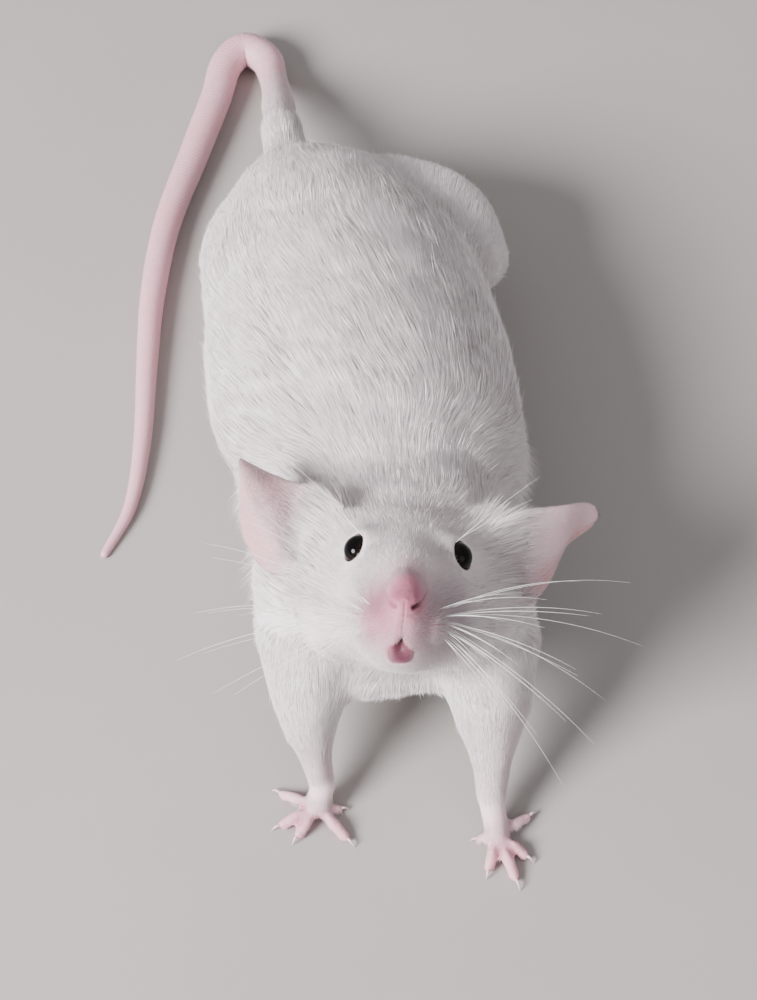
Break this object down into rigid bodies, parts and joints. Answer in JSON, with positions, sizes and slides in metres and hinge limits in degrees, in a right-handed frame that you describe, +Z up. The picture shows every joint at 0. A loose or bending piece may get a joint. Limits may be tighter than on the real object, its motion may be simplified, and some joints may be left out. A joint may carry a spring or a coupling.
{
  "type": "mouse",
  "caption": "White domestic mouse lying stretched on its belly, front raised on straight forelegs, head lifted to look up, tail curled round to its right",
  "frame": {"origin": "centre of the bounding box's footprint, on the floor", "axes": "The mouse faces -Y, its left side is +X, and +Z is up"},
  "size_m": [0.0578, 0.131, 0.0438],
  "materials": {
    "coat": "short soft white fur",
    "ear_skin": "thin pale pink skin with a fine down",
    "nose_skin": "moist pink skin",
    "paw_skin": "pale pink skin, sparsely haired",
    "tail_skin": "pale pink skin in fine scale rings, sparsely haired",
    "eye": "glossy black"
  },
  "bodies": {
    "root": {"belly": "coat", "chest": "coat", "ear_left": "ear_skin", "ear_right": "ear_skin", "eye_left": "eye", "eye_right": "eye", "forearm_left": "coat", "forearm_right": "coat", "forepaw_left": "paw_skin", "forepaw_right": "paw_skin", "head": "coat", "hindfoot_left": "paw_skin", "hindfoot_right": "paw_skin", "neck": "coat", "nose": "nose_skin", "rump": "coat", "tail_1": "tail_skin", "tail_2": "tail_skin", "tail_3": "tail_skin", "tail_4": "tail_skin", "tail_5": "tail_skin", "thigh_left": "coat", "thigh_right": "coat", "upper_foreleg_left": "coat", "upper_foreleg_right": "coat"}
  },
  "joints": []
}
